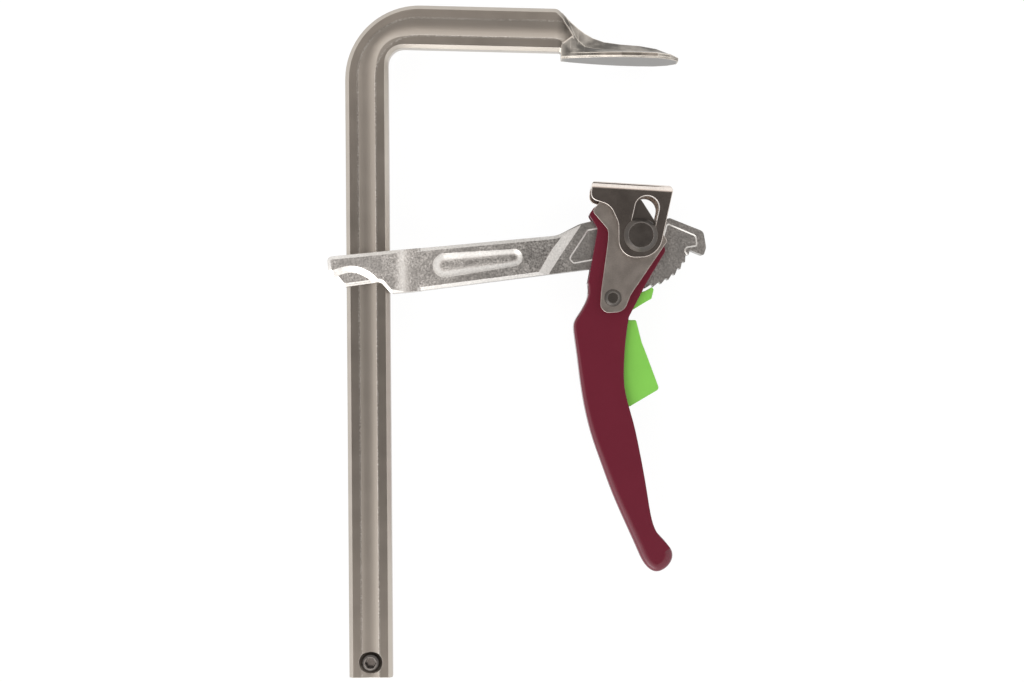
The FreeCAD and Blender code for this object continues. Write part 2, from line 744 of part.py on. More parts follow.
def make_handle():
    front_top = (PAWL_PIN_PLACE[0] + 14.2, web_top)
    grip_edges = [
        spline(GRIP_BACK), spline(GRIP_FRONT),
        line(GRIP_FRONT[-1], front_top), line(front_top, GRIP_BACK[0]),
    ]
    grip = both_sides(Part.Wire(grip_edges), handle_outer)
    rounds = []
    for edge in grip.Edges:
        middle = edge.valueAt((edge.FirstParameter + edge.LastParameter) / 2)
        on_face = abs(abs(middle.z) - handle_outer) < 1e-6
        if on_face and edge.Length > 100 and edge.BoundBox.XMin < -20:
            rounds.append(edge)
    behind_front = inset_points(GRIP_FRONT, HANDLE_EDGE_RADIUS + 0.6)
    strip_edges = [
        spline(GRIP_FRONT), line(GRIP_FRONT[-1], behind_front[-1]),
        spline(behind_front), line(behind_front[0], GRIP_FRONT[0]),
    ]
    square_front = both_sides(Part.Wire(Part.__sortEdges__(strip_edges)), handle_outer)
    grip = grip.makeFillet(HANDLE_TOP_EDGE_RADIUS, HANDLE_EDGE_RADIUS, rounds).fuse(square_front)
    cheeks = both_sides(handle_cheek_wire(), handle_outer)
    cheek_region = Part.makeBox(80, 60, 40, Vector(-40, web_top, -20))
    handle = grip.fuse(cheeks.common(cheek_region))
    inner = inset_points(GRIP_BACK, HANDLE_SHEET)
    lip = (inner[-1][0] - 1.0, inner[-1][1] + 1.2)
    inner = inner[1:-1] + [lip]
    hollow_edges = [
        spline(inner),
        line(inner[-1], (30, web_top - 92)), line((30, web_top - 92), (30, 40)), line((30, 40), (-45, 40)),
        line((-45, 40), (-45, web_top)), line((-45, web_top), (inner[0][0], web_top)),
        line((inner[0][0], web_top), inner[0]),
    ]
    handle = handle.cut(both_sides(Part.Wire(hollow_edges), handle_inner))
    handle = handle.cut([
        pin(lever_pin_hole, 2 * handle_outer),
        pin(PAWL_PIN_RADIUS + FIXED_FIT, 2 * handle_outer, PAWL_PIN_PLACE),
    ])
    return handle.removeSplitter()


def make_rivet(radius, head_start, base_radius, top_radius, height, centre):
    """Rivet with a cone-edged flat head on each end."""
    x, y = centre
    shank = pin(radius, head_start, centre)
    head = Part.makeCone(base_radius, top_radius, height, Vector(x, y, head_start))
    return shank.fuse([head, mirrored(head)]).removeSplitter()


def make_pressure_plate():
    """Sheet bent to a U over the cams, slotted on the main rivet."""
    bottom = slot_half + PLATE_BOTTOM_WALL
    tilt = -PLATE_TILT_DEG

    def on_plate(x, up):
        return turned((x, up), (0, 0), tilt)

    lean = math.radians(SLOT_TILT_DEG)

    def right_edge(y):
        return (bottom + y * math.sin(lean)) / math.cos(lean)

    right_top = plate_top - 0.7
    corners = [
        (*on_plate(-21.4, plate_top), 1.5),
        (right_edge(right_top) - 0.3, right_top, 2.5),
        (right_edge(-bottom), -bottom, bottom),
        (-bottom, -bottom, bottom),
        (-bottom, 5.2, 8),
        (-12.4, 12.6, 7),
        (-20.6, 15.4, 3),
    ]
    cheek = both_sides(rounded(corners), plate_outer)
    reach = 60.0
    depth = 60.0

    def u_section(half, top, radius):
        base = top - depth
        points = [(-half, base, 0), (-half, top, radius), (half, top, radius), (half, base, 0)]
        wire = rounded(points)
        wire.rotate(Vector(0, 0, 0), Vector(1, 0, 0), 90)
        wire.rotate(Vector(0, 0, 0), Vector(0, 0, 1), 90)
        face = Part.Face(wire)
        face.translate(Vector(-reach / 2, 0, 0))
        block = face.extrude(Vector(reach, 0, 0))
        return block

    outside = stand_up(u_section(plate_outer, plate_top, PLATE_BEND_RADIUS), tilt)
    inside = stand_up(u_section(plate_inner, plate_underside, PLATE_BEND_RADIUS - PLATE_SHEET), tilt)
    plate = cheek.common(outside).cut(inside)
    low = (0, 0)
    high = polar(SLOT_TRAVEL, 90 - SLOT_TILT_DEG)
    slot = pin(slot_half, 2 * plate_outer, low)
    slot = slot.fuse(pin(slot_half, 2 * plate_outer, high))
    channel = Part.makeBox(2 * slot_half, SLOT_TRAVEL, 4 * plate_outer, Vector(-slot_half, 0, -2 * plate_outer))
    channel.rotate(Vector(0, 0, 0), Vector(0, 0, 1), -SLOT_TILT_DEG)
    return plate.cut(slot.fuse(channel)).removeSplitter()


def stand_up(block, tilt):
    """Turn a section block from Z-up to the plate's own up direction."""
    block = block.copy()
    block.rotate(Vector(0, 0, 0), Vector(1, 0, 0), -90)
    block.rotate(Vector(0, 0, 0), Vector(0, 0, 1), tilt)
    return block


def make_trigger():
    """Release trigger and pawl nose in one piece, on the pawl rivet."""
    x, y = PAWL_PIN_PLACE
    half = handle_inner - TRIGGER_SIDE_GAP
    root = TOOTH_TIP_RADIUS - TOOTH_DEPTH
    tip_deg = FIRST_TIP_DEG - 6 * TOOTH_PITCH_DEG
    point = polar(root + 0.15, tip_deg - STEEP_FACE_DEG - 0.35)
    heel = polar(TOOTH_TIP_RADIUS + 0.15, tip_deg - 0.35)
    slope = polar(TOOTH_TIP_RADIUS + 0.2, tip_deg - TOOTH_PITCH_DEG)
    engaged_nose = [slope, point, heel]
    nose = [turned(p, PAWL_PIN_PLACE, -PAWL_LIFT_DEG) for p in engaged_nose]
    corners = [
        (x + 2.0, y + 4.4, 3),
        (x + 8.1, y + 1.4, 3),
        (*nose[0], 0.6),
        (*nose[1], 0.2),
        (*nose[2], 0.4),
        (x + 16.3, y - 0.4, 0.8),
        (x + 14.4, y - 1.4, 1.0),
        (x + 7.4, y - 5.6, 1.0),
        (x + 6.4, y - 9.2, 0.6),
        (x + 9.8, y - 9.2, 0.8),
        (x + 12.1, y - 18.5, 8),
        (x + 14.5, y - 24.8, 8),
        (x + 19.3, y - 38.1, 1.5),
        (x + 6.6, y - 45.5, 2),
        (x - 0.4, y - 43.2, 2),
        (x - 0.8, y - 24.2, 12),
        (x - 3.4, y - 8.0, 8),
    ]
    body = both_sides(rounded(corners), half)
    body = body.fuse(pin(HUB_RADIUS, half, PAWL_PIN_PLACE))
    room_half = (SPRING_TURNS * SPRING_PITCH) / 2 + SPRING_WIRE_RADIUS + SPRING_ROOM
    room = pin(SPRING_COIL_RADIUS + SPRING_WIRE_RADIUS + SPRING_ROOM, room_half, PAWL_PIN_PLACE)
    back_way = Part.makeBox(14, 16, 2 * room_half, Vector(x - 14, y - 12, -room_half))
    swing = SPRING_TRIGGER_LEG * math.sin(math.radians(TRIGGER_PULL_DEG))
    leg_half = SPRING_WIRE_RADIUS + swing + 0.1
    leg_room = SPRING_TRIGGER_LEG + SPRING_ROOM
    leg_way = Part.makeBox(
        2 * leg_half, leg_room, 2 * room_half,
        Vector(x + SPRING_COIL_RADIUS - leg_half, y - leg_room, -room_half),
    )
    body = body.cut([room, back_way, leg_way, pin(PAWL_PIN_RADIUS + RUNNING_FIT, 2 * half, PAWL_PIN_PLACE)])
    return body.removeSplitter()


def wire_leg(start, direction, length):
    """Straight end of the spring wire, rounded where it leaves the coil."""
    leg = Part.makeCylinder(SPRING_WIRE_RADIUS, length, start, direction)
    return leg.fuse(Part.makeSphere(SPRING_WIRE_RADIUS, start))


def make_spring():
    """Torsion spring: a short coil with one leg on the web, one in the trigger."""
    x, y = PAWL_PIN_PLACE
    height = SPRING_TURNS * SPRING_PITCH
    start = Vector(SPRING_COIL_RADIUS, 0, 0)
    end = Vector(*polar(SPRING_COIL_RADIUS, 360 * SPRING_TURNS), height)
    path = Part.Wire(Part.makeHelix(SPRING_PITCH, height, SPRING_COIL_RADIUS))
    profile = Part.Wire([Part.makeCircle(SPRING_WIRE_RADIUS, start, Vector(0, 1, 0))])
    coil = path.makePipeShell([profile], True, True)
    leaving = Vector(*polar(1, 360 * SPRING_TURNS + 90), 0)
    spring = coil.fuse([
        wire_leg(start, Vector(0, -1, 0), SPRING_TRIGGER_LEG),
        wire_leg(end, leaving, SPRING_WEB_LEG),
    ])
    spring.translate(Vector(x, y, -height / 2))
    return spring.removeSplitter()


def at_pivot(shape):
    shape = shape.copy()
    shape.translate(pivot)
    return shape


def build():
    side_plate = make_side_plate()
    main_rivet = make_rivet(
        MAIN_PIN_RADIUS, main_head_start, MAIN_HEAD_BASE_RADIUS, MAIN_HEAD_TOP_RADIUS, MAIN_HEAD_HEIGHT, (0, 0)
    )
    pawl_rivet = make_rivet(
        PAWL_PIN_RADIUS, pawl_head_start, PAWL_HEAD_BASE_RADIUS, PAWL_HEAD_TOP_RADIUS, PAWL_HEAD_HEIGHT,
        PAWL_PIN_PLACE,
    )
    return {
        "rail": make_rail(),
        "rail_stop_screw": make_stop_screw(),
        "sliding_arm": at_pivot(make_arm()),
        "pressure_plate": at_pivot(make_pressure_plate()),
        "main_rivet": at_pivot(main_rivet),
        "lever_handle": at_pivot(make_handle()),
        "side_plate_front": at_pivot(side_plate),
        "side_plate_rear": at_pivot(mirrored(side_plate)),
        "pawl_rivet": at_pivot(pawl_rivet),
        "release_trigger": at_pivot(make_trigger()),
        "trigger_spring": at_pivot(make_spring()),
    }


def write(pieces):
    """Move the model so that its base is centred on the origin, and save it."""
    box = FreeCAD.BoundBox()
    for shape in pieces.values():
        box.add(shape.optimalBoundingBox())
    base = Vector(box.Center.x, box.Center.y, box.ZMin)
    os.makedirs("parts", exist_ok=True)
    for name, shape in pieces.items():
        shape.translate(base * -1)
        shape.exportStep("parts/" + name + ".step")
        print(name, shape.isValid(), len(shape.Solids), round(shape.Volume, 1))
    centre = pivot - base
    print("size", round(box.XLength, 2), round(box.YLength, 2), round(box.ZLength, 2))
    print("pivot", round(centre.x, 3), round(centre.y, 3), round(centre.z, 3))


write(build())
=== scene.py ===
import math

import bpy
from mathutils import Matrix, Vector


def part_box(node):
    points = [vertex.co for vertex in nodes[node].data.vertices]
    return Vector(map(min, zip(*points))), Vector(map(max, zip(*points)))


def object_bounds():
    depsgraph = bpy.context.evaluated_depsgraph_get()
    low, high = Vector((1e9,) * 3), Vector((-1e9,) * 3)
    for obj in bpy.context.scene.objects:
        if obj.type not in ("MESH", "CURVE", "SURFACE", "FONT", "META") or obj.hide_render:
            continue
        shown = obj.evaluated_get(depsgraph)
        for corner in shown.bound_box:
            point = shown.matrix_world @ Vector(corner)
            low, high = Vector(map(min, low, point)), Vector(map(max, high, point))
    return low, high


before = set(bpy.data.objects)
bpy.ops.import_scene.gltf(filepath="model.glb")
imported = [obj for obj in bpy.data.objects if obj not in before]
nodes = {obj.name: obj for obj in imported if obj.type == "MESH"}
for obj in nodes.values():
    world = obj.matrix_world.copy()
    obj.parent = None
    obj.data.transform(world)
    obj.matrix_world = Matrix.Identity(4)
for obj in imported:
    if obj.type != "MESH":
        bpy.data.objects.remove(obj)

bl_info = {
    "name": "Lever bar clamp",
    "version": (1, 0, 0),
    "blender": (4, 5, 0),
    "location": "View3D > Sidebar > Clamp",
    "description": "Finishes the steel, paint and edges of a lever bar clamp and sets its studio",
    "category": "Object",
}

MM = 0.001
CAMERA_X = -2.36 * MM
CAMERA_Y = -0.21 * MM
LAMP_WAY = (-0.55, -0.82, 0.12)
RAIL_HALF_WIDTH = 9 * MM
BEND_RADIUS = 31 * MM
JAW_DROOP = math.radians(1.8)
GROOVE_EDGE = 3.7 * MM
PAD_START = 19.3 * MM
ALL_LIGHT = (1, 1, 1, 1)
WARM_LIGHT = (1, 0.92, 0.87, 1)
# Colour of the painted highlight on the edges of the rail's groove
HIGHLIGHT_ZINC = (0.78, 0.75, 0.70, 1)
# Inputs and output of a Mix node that mixes colours
COLOUR_A, COLOUR_B, MIXED = 6, 7, 2
cad_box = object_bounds()


def linear(code):
    """Linear colour of an sRGB hex value such as #7b7169."""
    values = [int(code[i:i + 2], 16) / 255 for i in (1, 3, 5)]
    return tuple(v / 12.92 if v <= 0.04045 else ((v + 0.055) / 1.055) ** 2.4 for v in values)


def rgba(colour):
    return (colour[0], colour[1], colour[2], 1.0)


def colour_setting(name, description, code):
    return bpy.props.FloatVectorProperty(
        name=name, description=description, subtype="COLOR", size=3, min=0, max=1, default=linear(code)
    )


def length_setting(name, description, millimetres):
    return bpy.props.FloatProperty(
        name=name, description=description, subtype="DISTANCE", unit="LENGTH", default=millimetres * MM, min=0
    )


def share_setting(name, description, value):
    return bpy.props.FloatProperty(
        name=name, description=description, subtype="FACTOR", default=value, min=0, max=1
    )


def light_setting(name, description, value):
    return bpy.props.FloatProperty(name=name, description=description, default=value, min=0)


# Settings

class ClampSteelSettings(bpy.types.PropertyGroup):
    """Colours and grains of the bare steel pieces."""

    rail_colour: colour_setting("Rail colour", "Colour of the rolled and zinc plated rail", "#c6beb4")
    rail_streak: length_setting("Rail streaks", "Width of the drawing lines along the rail", 0.5)
    rail_roughness: share_setting("Rail roughness", "Roughness of the rail's flats", 0.3)
    forged_colour: colour_setting("Arm colour", "Colour of the forged and zinc plated arm", "#efebe6")
    forged_grain: length_setting("Forged grain", "Size of the pits that shot blasting leaves", 0.8)
    forged_depth: length_setting("Forged grain depth", "Height of the forged grain", 0.14)
    plate_colour: colour_setting("Side plate colour", "Colour of the blanked side plates", "#d6cdc5")
    pressed_colour: colour_setting("Pressure plate colour", "Colour of the bent pressure plate", "#e8ded6")
    rivet_colour: colour_setting("Rivet colour", "Colour of the rivets and the stop screw", "#cbc4be")
    edge_radius: length_setting("Edge radius", "Radius that tumbling leaves on the steel edges", 0.3)


class ClampPaintSettings(bpy.types.PropertyGroup):
    """Colours of the coated pieces."""

    handle_colour: colour_setting("Handle colour", "Colour of the lever's powder coat", "#66202f")
    trigger_colour: colour_setting("Trigger colour", "Colour of the release trigger's powder coat", "#83c856")
    coat_roughness: share_setting("Coat roughness", "Roughness of the powder coat", 0.22)
    peel_size: length_setting("Orange peel", "Width of the powder coat's ripples", 1.4)
    coat_edge: length_setting("Coat edge radius", "Radius of the coat over a sheet's edge", 0.6)


class ClampStudioSettings(bpy.types.PropertyGroup):
    """Camera, floor and light."""

    camera_distance: length_setting("Camera distance", "Camera above the clamp's mid-plane", 850)
    view_width: length_setting("View width", "Width of the view at the mid-plane", 430.1)
    roll: bpy.props.FloatProperty(
        name="Roll", description="Turn of the camera about its line of sight", subtype="ANGLE",
        unit="ROTATION", default=math.radians(-0.42),
    )
    floor_width: length_setting("Floor width", "Side of the square floor", 4000)
    card_radius: length_setting("Card radius", "Radius of the dark card round the lens", 620)
    tent_light: light_setting("Tent light", "Brightness of the tent's walls", 1.2)
    side_light: light_setting("Side light", "Extra brightness of the lamp at the lower left", 3.5)
    card_light: light_setting("Card light", "Brightness of the card beside the lens", 0.085)


# Node helpers

def new_material(name):
    material = bpy.data.materials.new(name)
    material.use_nodes = True
    material.node_tree.nodes.clear()
    return material


def add(material, kind, inputs=None, output=0, **properties):
    """Add a node with its properties, give each input its value or link, and return one output."""
    tree = material.node_tree
    node = tree.nodes.new(kind)
    for key, value in properties.items():
        setattr(node, key, value)
    for key, value in (inputs or {}).items():
        if isinstance(value, bpy.types.NodeSocket):
            tree.links.new(value, node.inputs[key])
        else:
            node.inputs[key].default_value = value
    return node.outputs[output] if len(node.outputs) else None


def share(colour, part):
    """The colour made darker or lighter by a part."""
    return tuple(min(1.0, value * part) for value in colour[:3])


def finish_surface(material, values, height, depth, edge):
    """Principled surface with a bump and softened edges."""
    soft = add(material, "ShaderNodeBevel", {"Radius": edge}, samples=8)
    bump_inputs = {"Strength": 1.0, "Distance": depth, "Height": height, "Normal": soft}
    bump = add(material, "ShaderNodeBump", bump_inputs)
    surface = add(material, "ShaderNodeBsdfPrincipled", {**values, "Normal": bump})
    add(material, "ShaderNodeOutputMaterial", {"Surface": surface})
    return material


def dress(name, material):
    node = nodes[name]
    node.data.materials.clear()
    node.data.materials.append(material)


# Rail

def rail_axes(material, place):
    """Distances across the bar from its middle, and along it, which follow the bend, and the depth."""
    low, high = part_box("rail")
    axes = add(material, "ShaderNodeSeparateXYZ", {0: place}).node.outputs
    right = add(material, "ShaderNodeMath", {0: axes[0], 1: low.x + BEND_RADIUS}, operation="SUBTRACT")
    over_bend = add(material, "ShaderNodeMath", {0: axes[1], 1: high.y - BEND_RADIUS}, operation="SUBTRACT")
    up = add(
        material, "ShaderNodeMath", {0: right, 1: math.sin(JAW_DROOP), 2: over_bend}, operation="MULTIPLY_ADD"
    )
    leg = add(material, "ShaderNodeMath", {0: right, 1: 0.0}, operation="MINIMUM")
    jaw = add(material, "ShaderNodeMath", {0: up, 1: 0.0}, operation="MAXIMUM")
    corner = add(material, "ShaderNodeCombineXYZ", {0: leg, 1: jaw})
    reach = add(material, "ShaderNodeVectorMath", {0: corner}, "Value", operation="LENGTH")
    middle = BEND_RADIUS - RAIL_HALF_WIDTH
    across = add(material, "ShaderNodeMath", {0: reach, 1: middle}, operation="SUBTRACT")
    along = add(material, "ShaderNodeMath", {0: right, 1: up}, operation="SUBTRACT")
    return across, along, axes[2]


def rolled_colour(material, steel, side, groove, drawn, cloud, grain):
    """Streaked flats, a cleaner groove, and a painted highlight along both edges of the groove, broken into
    bright specks.
    """
    middle = add(material, "ShaderNodeMath", {0: cloud, 1: 0.25}, operation="SUBTRACT")
    tone = add(material, "ShaderNodeMath", {0: drawn, 1: 0.5, 2: middle}, operation="MULTIPLY_ADD")
    dark, light = rgba(share(steel.rail_colour, 0.78)), rgba(share(steel.rail_colour, 0.95))
    flats = {0: tone, COLOUR_A: dark, COLOUR_B: light}
    streaked = add(material, "ShaderNodeMix", flats, MIXED, data_type="RGBA")
    clean = rgba(share(steel.rail_colour, 0.9))
    with_groove = {0: groove, COLOUR_A: streaked, COLOUR_B: clean}
    grooved = add(material, "ShaderNodeMix", with_groove, MIXED, data_type="RGBA")
    # Painted highlight: a thin band on each edge of the groove, broken by the grain into specks, takes a bright
    # zinc colour.
    line = add(material, "ShaderNodeMath", {0: side, 1: GROOVE_EDGE, 2: 0.4 * MM}, operation="COMPARE")
    specks = add(material, "ShaderNodeMapRange", {"Value": grain, "From Min": 0.45, "From Max": 0.62})
    edge_highlight_specks = add(material, "ShaderNodeMath", {0: line, 1: specks}, operation="MULTIPLY")
    with_specks = {0: edge_highlight_specks, COLOUR_A: grooved, COLOUR_B: HIGHLIGHT_ZINC}
    return add(material, "ShaderNodeMix", with_specks, MIXED, data_type="RGBA")


def pad_colour(material, steel, cloud):
    """Patchy forging scale, with painted shade that makes the clamping face darkest and a painted highlight
    along the ridges.
    """
    skin, scale = rgba(share(steel.rail_colour, 0.75)), rgba(share(steel.rail_colour, 0.22))
    patchy = add(material, "ShaderNodeMapRange", {"Value": cloud, "From Min": 0.4, "From Max": 0.65})
    patches = {0: patchy, COLOUR_A: scale, COLOUR_B: skin}
    scaled = add(material, "ShaderNodeMix", patches, MIXED, data_type="RGBA")
    # Painted shade: the clamping face, which points to -Y, takes the darkest scale colour in full.
    normal = add(material, "ShaderNodeTexCoord", output="Normal")
    facing = add(material, "ShaderNodeSeparateXYZ", {0: normal}, 1)
    clamping_face_shade = add(material, "ShaderNodeMapRange", {"Value": facing, "From Min": -0.9, "From Max": -0.98})
    with_face = {0: clamping_face_shade, COLOUR_A: scaled, COLOUR_B: scale}
    pad = add(material, "ShaderNodeMix", with_face, MIXED, data_type="RGBA")
    # Painted highlight: where the rounded normal departs from the sharp one, on ridges and rims, the colour
    # turns bright.
    softened = add(material, "ShaderNodeBevel", {"Radius": 0.9 * MM}, samples=8)
    sharp = add(material, "ShaderNodeNewGeometry", output="Normal")
    likeness = add(
        material, "ShaderNodeVectorMath", {0: softened, 1: sharp}, "Value", operation="DOT_PRODUCT"
    )
    ridge_highlight = add(material, "ShaderNodeMapRange", {"Value": likeness, "From Min": 0.998, "From Max": 0.96})
    with_ridges = {0: ridge_highlight, COLOUR_A: pad, COLOUR_B: rgba(share(steel.rail_colour, 1.3))}
    return add(material, "ShaderNodeMix", with_ridges, MIXED, data_type="RGBA")


def rail_steel(steel):
    """Rolled steel with thin zinc, satin with faint lines along it, and a dull forged pad, with painted
    highlights on the groove's edges and the pad's ridges and painted shade on its clamping face.
    """
    material = new_material("rolled_steel_zinc_plated_satin")
    place = add(material, "ShaderNodeTexCoord", output="Object")
    across, along, depth = rail_axes(material, place)
    axes = add(material, "ShaderNodeCombineXYZ", {0: across, 1: along, 2: depth})
    stretched = add(material, "ShaderNodeMapping", {"Vector": axes, "Scale": (1, 0.02, 1)})
    lines = {"Vector": stretched, "Scale": 1 / steel.rail_streak, "Detail": 3.0}
    drawn = add(material, "ShaderNodeTexNoise", lines)
    cloud = add(material, "ShaderNodeTexNoise", {"Vector": place, "Scale": 1 / (9 * MM), "Detail": 4.0})
    grain = add(material, "ShaderNodeTexNoise", {"Vector": place, "Scale": 1 / (0.4 * MM), "Detail": 2.0})
    side = add(material, "ShaderNodeMath", {0: across}, operation="ABSOLUTE")
    groove_limits = {"Value": side, "From Min": GROOVE_EDGE, "From Max": GROOVE_EDGE - 0.4 * MM}
    groove = add(material, "ShaderNodeMapRange", groove_limits)
    rolled = rolled_colour(material, steel, side, groove, drawn, cloud, grain)
    pad = pad_colour(material, steel, cloud)
    right = add(material, "ShaderNodeSeparateXYZ", {0: place})
    neck_limits = {"Value": right, "From Min": PAD_START - 2 * MM, "From Max": PAD_START + 2 * MM}
    forged = add(material, "ShaderNodeMapRange", neck_limits)
    with_pad = {0: forged, COLOUR_A: rolled, COLOUR_B: pad}
    colour = add(material, "ShaderNodeMix", with_pad, MIXED, data_type="RGBA")
    smooth, dull = steel.rail_roughness - 0.02, steel.rail_roughness + 0.04
    satin = add(material, "ShaderNodeMapRange", {"Value": cloud, "To Min": smooth, "To Max": dull})
    rough = add(material, "ShaderNodeMath", {0: groove, 1: 0.06, 2: satin}, operation="MULTIPLY_ADD")
    height = add(material, "ShaderNodeMath", {0: drawn, 1: grain}, operation="ADD")
    values = {"Metallic": 1.0, "Base Color": colour, "Roughness": rough}
    return finish_surface(material, values, height, 0.014 * MM, steel.edge_radius)


class CLAMP_OT_rail(bpy.types.Operator):
    """Give the rail and fixed jaw their rolled steel"""

    bl_idname = "clamp.rail"
    bl_label = "Rail and fixed jaw"

    def execute(self, context):
        dress("rail", rail_steel(context.scene.clamp_steel))
        return {"FINISHED"}


# Arm

def die_slopes(material):
    """Share of a face that is one of the die's slopes: 0 on flats and on upright walls, 1 between."""
    normal = add(material, "ShaderNodeTexCoord", output="Normal")
    lean = add(material, "ShaderNodeSeparateXYZ", {0: normal}, 2)
    level = add(material, "ShaderNodeMath", {0: lean}, operation="ABSOLUTE")
    sloped = add(material, "ShaderNodeMapRange", {"Value": level, "From Min": 0.99, "From Max": 0.93})
    walled = add(material, "ShaderNodeMapRange", {"Value": level, "From Min": 0.3, "From Max": 0.6})
    return add(material, "ShaderNodeMath", {0: sloped, 1: walled}, operation="MULTIPLY")


def forged_steel(steel):
    """Drop forged steel, blasted and zinc plated: open, sparkling grain, smooth on the slopes, whose colour
    painted light also lifts.
    """
    material = new_material("forged_steel_blasted_zinc_plated")
    place = add(material, "ShaderNodeTexCoord", output="Object")
    scale = 1 / steel.forged_grain
    pits = add(
        material, "ShaderNodeTexVoronoi", {"Vector": place, "Scale": scale}, "Distance", feature="SMOOTH_F1"
    )
    fine = add(material, "ShaderNodeTexNoise", {"Vector": place, "Scale": scale, "Detail": 3.0})
    cloud = add(material, "ShaderNodeTexNoise", {"Vector": place, "Scale": 1 / (6 * MM), "Detail": 4.0})
    right = add(material, "ShaderNodeSeparateXYZ", {0: place})
    low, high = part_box("sliding_arm")
    length = high.x - low.x
    # The collar is freshly blasted. Towards the lever the zinc is worn.
    from_collar = {"Value": right, "From Min": low.x + 0.2 * length, "From Max": low.x + 0.6 * length}
    wear = add(
        material, "ShaderNodeMapRange", {**from_collar, "To Min": 1.03, "To Max": 0.47},
        interpolation_type="SMOOTHSTEP",
    )
    cloudy = add(material, "ShaderNodeMath", {0: cloud, 1: 0.5, 2: wear}, operation="MULTIPLY_ADD")
    # The thin head is coined, so its grain is flatter than the beam's.
    to_head = {"Value": right, "From Min": low.x + 0.6 * length, "From Max": low.x + 0.68 * length}
    coined = add(material, "ShaderNodeMapRange", {**to_head, "To Min": 1.0, "To Max": 0.4})
    patch_limits = {"Value": cloud, "From Min": 0.4, "From Max": 0.6, "To Min": 0.6, "To Max": 1.15}
    patches = add(material, "ShaderNodeMapRange", patch_limits)
    coarse = add(material, "ShaderNodeMath", {0: coined, 1: patches}, operation="MULTIPLY")
    spread = add(material, "ShaderNodeMath", {0: fine, 1: 0.5}, operation="SUBTRACT")
    specks = add(material, "ShaderNodeMath", {0: spread, 1: coarse}, operation="MULTIPLY")
    speckled = add(material, "ShaderNodeMath", {0: specks, 1: 1.9, 2: cloudy}, operation="MULTIPLY_ADD")
    tone = add(material, "ShaderNodeMapRange", {"Value": speckled, "From Min": 0.41, "From Max": 1.71})
    dark, light = rgba(share(steel.forged_colour, 0.27)), rgba(steel.forged_colour)
    grained = {0: tone, COLOUR_A: dark, COLOUR_B: light}
    blasted = add(material, "ShaderNodeMix", grained, MIXED, data_type="RGBA")
    slope = die_slopes(material)
    # The slopes get a smoother, less speckled colour, and painted light lifts them towards the light tone as
    # though lit from the side.
    bright = add(material, "ShaderNodeMath", {0: slope, 1: 0.42}, operation="MULTIPLY")
    with_slopes = {0: bright, COLOUR_A: blasted, COLOUR_B: light}
    colour = add(material, "ShaderNodeMix", with_slopes, MIXED, data_type="RGBA")
    rough = add(material, "ShaderNodeMapRange", {"Value": fine, "To Min": 0.32, "To Max": 0.48})
    open_grain = add(material, "ShaderNodeMath", {0: pits, 1: fine}, operation="ADD")
    off_slopes = add(material, "ShaderNodeMapRange", {"Value": slope, "To Min": 1.0, "To Max": 0.25})
    pitted = add(material, "ShaderNodeMath", {0: off_slopes, 1: coarse}, operation="MULTIPLY")
    height = add(material, "ShaderNodeMath", {0: open_grain, 1: pitted}, operation="MULTIPLY")
    values = {"Metallic": 1.0, "Base Color": colour, "Roughness": rough}
    return finish_surface(material, values, height, steel.forged_depth, 0.2 * MM)


class CLAMP_OT_arm(bpy.types.Operator):
    """Give the sliding arm its forged steel"""

    bl_idname = "clamp.arm"
    bl_label = "Sliding arm"

    def execute(self, context):
        dress("sliding_arm", forged_steel(context.scene.clamp_steel))
        return {"FINISHED"}


# Sheet steel and rivets

